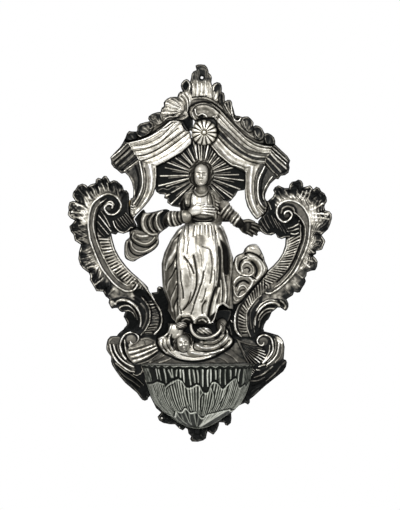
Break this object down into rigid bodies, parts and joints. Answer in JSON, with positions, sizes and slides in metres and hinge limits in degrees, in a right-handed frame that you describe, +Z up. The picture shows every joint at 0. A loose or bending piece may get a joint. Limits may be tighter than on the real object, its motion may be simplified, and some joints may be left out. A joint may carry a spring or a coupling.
{
  "type": "holy water stoup",
  "caption": "Wall-hung holy water stoup in embossed silver: scrolled cartouche, standing robed figure under a rayed canopy, half-round leafy bowl with a lift-out cup.",
  "frame": {"origin": "centre of the nail hole near the top, on the wall plane (the back face of the spine strap)", "axes": "-Y out of the wall towards the viewer, +Z up, +X to the viewer's right"},
  "size_m": [0.2381, 0.0559, 0.34],
  "materials": {
    "embossed_silver": "antiqued silver, bright ridges and near-black patina in the recesses",
    "cast_silver": "antiqued cast silver",
    "figure_silver": "antiqued silver, smooth folds with dark recesses",
    "pale_silver": "pale warm silver",
    "bowl_silver": "grey patinated silver with bright ridges",
    "plain_silver": "plain satin silver",
    "brass_strap": "dull, aged",
    "fastener": "dull"
  },
  "bodies": {
    "stoup": {"crest_shell": "embossed_silver", "canopy_left": "embossed_silver", "canopy_right": "embossed_silver", "ray_plate": "embossed_silver", "scroll_left": "embossed_silver", "scroll_right": "embossed_silver", "apron_plate": "embossed_silver", "cloud_base": "embossed_silver", "mantle_swag": "embossed_silver", "cloud_right": "embossed_silver", "crescent_moon": "cast_silver", "figure_gown": "figure_silver", "figure_bust": "figure_silver", "figure_head": "cast_silver", "hand_on_breast": "cast_silver", "hand_outstretched": "cast_silver", "shoes": "cast_silver", "rosette": "pale_silver", "bowl_shell": "bowl_silver", "bowl_back_wall": "plain_silver", "spine_strap": "brass_strap", "lower_cross_strap": "brass_strap", "joint_plate_left": "brass_strap", "joint_plate_right": "brass_strap", "figure_bars": "brass_strap", "rivets": "fastener", "strap_rivet": "fastener", "rosette_screw": "fastener", "figure_screws": "fastener", "bowl_studs": "fastener", "bowl_washers": "fastener", "bowl_nuts": "fastener"},
    "cup": {"bowl_liner": "plain_silver"}
  },
  "joints": [
    {"name": "cup_lift", "type": "slide", "parent": "stoup", "child": "cup", "axis": [0, -0.6428, 0.766], "range_m": [0, 0.08]}
  ]
}
